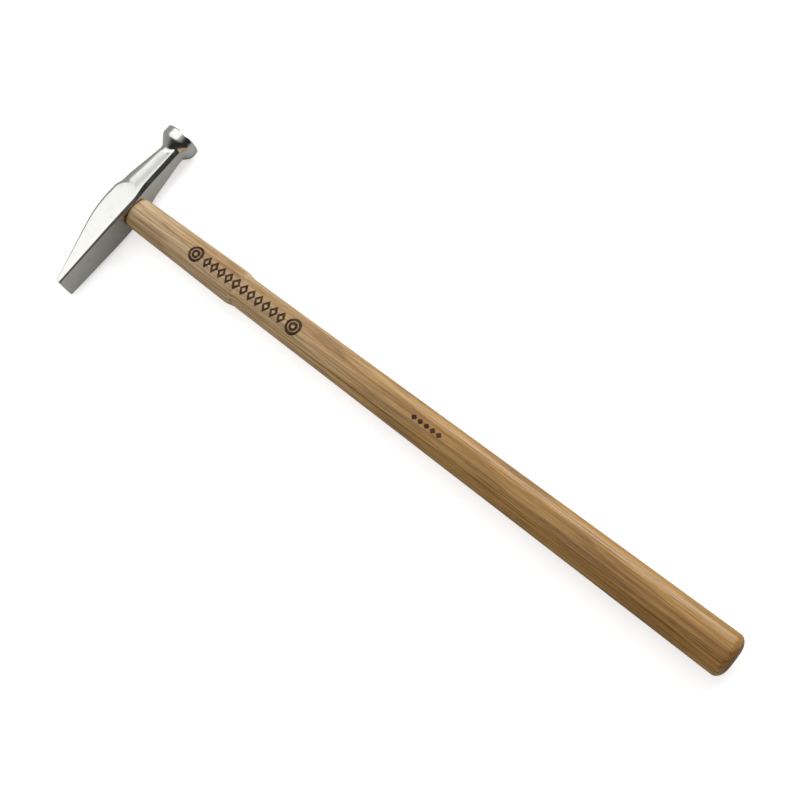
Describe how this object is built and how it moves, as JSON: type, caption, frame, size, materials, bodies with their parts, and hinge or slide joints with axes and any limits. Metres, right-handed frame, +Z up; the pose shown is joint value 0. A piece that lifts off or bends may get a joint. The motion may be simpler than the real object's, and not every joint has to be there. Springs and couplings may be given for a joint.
{
  "type": "blacksmith hammer",
  "caption": "Light cross-pein hammer: forged steel head with a round face and a straight pein, wedged onto a long stepped hickory handle.",
  "frame": {"origin": "under the middle of the hammer's bounding box, on the plane the hammer lies on", "axes": "+X along the head from the pein to the striking face, +Y along the handle from the butt to the top of the head, +Z up out of the upper cheek"},
  "size_m": [0.094, 0.356, 0.0185],
  "materials": {
    "forged_steel": "bright plated, lightly brushed",
    "hickory": "clear lacquer, fine long grain",
    "wedge_wood": "bare end grain",
    "wedge_steel": "plain stamped steel"
  },
  "bodies": {
    "root": {"hammer_head": "forged_steel", "handle": "hickory", "eye_wedge": "wedge_wood", "cross_wedge": "wedge_steel"}
  },
  "joints": []
}
